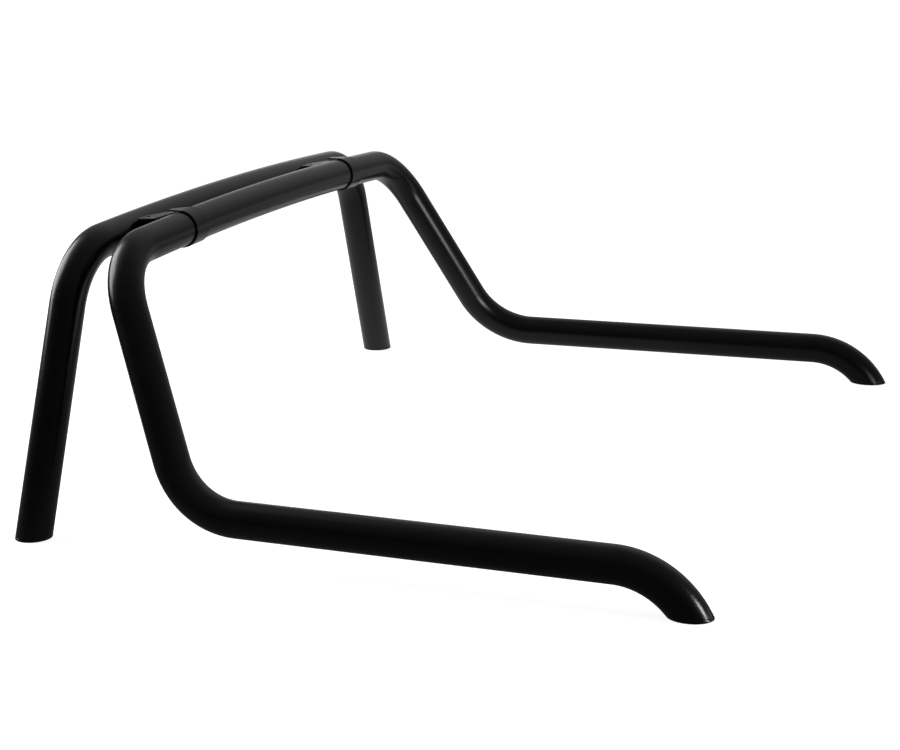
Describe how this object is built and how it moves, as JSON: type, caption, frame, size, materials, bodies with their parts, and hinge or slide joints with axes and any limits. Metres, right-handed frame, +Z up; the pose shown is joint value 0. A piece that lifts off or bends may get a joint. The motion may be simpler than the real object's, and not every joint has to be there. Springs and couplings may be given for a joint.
{
  "type": "truck bed sports bar",
  "caption": "Bolt-on tubular sports bar for a pickup truck bed: a front hoop and a rear hoop with long arms turned down onto the bed rails, tied by clamp brackets, in black powder coat.",
  "frame": {"origin": "middle of the footprint, on the plane of the four foot plates", "axes": "+X to the truck's right along the cross tubes, +Y forward to the cab, +Z up"},
  "size_m": [1.6386, 1.238, 0.5179],
  "materials": {
    "black_powder_coat": "satin black powder coat",
    "plain_steel": "bare mild steel, drawn",
    "zinc_plated_steel": "clear zinc plating"
  },
  "bodies": {
    "root": {"bridge_plate_left": "black_powder_coat", "bridge_plate_right": "black_powder_coat", "bridge_rib_left_inner": "black_powder_coat", "bridge_rib_left_outer": "black_powder_coat", "bridge_rib_right_inner": "black_powder_coat", "bridge_rib_right_outer": "black_powder_coat", "foot_nut_front_left": "zinc_plated_steel", "foot_nut_front_right": "zinc_plated_steel", "foot_nut_rear_left": "zinc_plated_steel", "foot_nut_rear_right": "zinc_plated_steel", "foot_plate_front_left": "black_powder_coat", "foot_plate_front_right": "black_powder_coat", "foot_plate_rear_left": "black_powder_coat", "foot_plate_rear_right": "black_powder_coat", "front_hoop_tube": "black_powder_coat", "joint_nut_left_inner": "zinc_plated_steel", "joint_nut_left_outer": "zinc_plated_steel", "joint_nut_right_inner": "zinc_plated_steel", "joint_nut_right_outer": "zinc_plated_steel", "joint_screw_left_inner": "zinc_plated_steel", "joint_screw_left_outer": "zinc_plated_steel", "joint_screw_right_inner": "zinc_plated_steel", "joint_screw_right_outer": "zinc_plated_steel", "joint_sleeve_left": "plain_steel", "joint_sleeve_right": "plain_steel", "joint_strap_left": "black_powder_coat", "joint_strap_right": "black_powder_coat", "rear_arm_left": "black_powder_coat", "rear_arm_right": "black_powder_coat", "rear_cross_tube": "black_powder_coat"}
  },
  "joints": []
}
